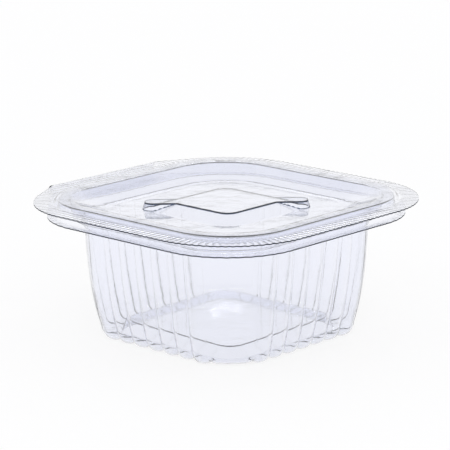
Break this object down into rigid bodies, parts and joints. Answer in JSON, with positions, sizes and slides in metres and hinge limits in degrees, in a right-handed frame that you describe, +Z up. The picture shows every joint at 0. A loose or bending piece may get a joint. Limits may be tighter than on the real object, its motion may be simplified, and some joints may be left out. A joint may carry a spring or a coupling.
{
  "type": "hinged clamshell food pack",
  "caption": "Clear square food pack with a fluted tub on scalloped toes, raised floor, hinged lid with knurled flange, stacking recess and centre boss with a diagonal bar.",
  "frame": {"origin": "on the table, straight below the middle of the tub, in the middle of the ring that the foot stands on", "axes": "+Z up, out of the tub's mouth; +Y towards the hinge; +X along the fold line"},
  "size_m": [0.136, 0.1429, 0.0582],
  "materials": {
    "tub": "clear thermoformed PET sheet, glossy, fluted",
    "lid": "clear thermoformed PET sheet, glossy, knurled flange"
  },
  "bodies": {
    "tub_body": {"tub": "tub"},
    "lid_body": {"lid": "lid"}
  },
  "joints": [
    {"name": "lid_hinge", "type": "hinge", "parent": "tub_body", "child": "lid_body", "pos_m": [0, 0.075, 0.05353], "axis": [-1, 0, 0], "range_deg": [0, 180]}
  ]
}
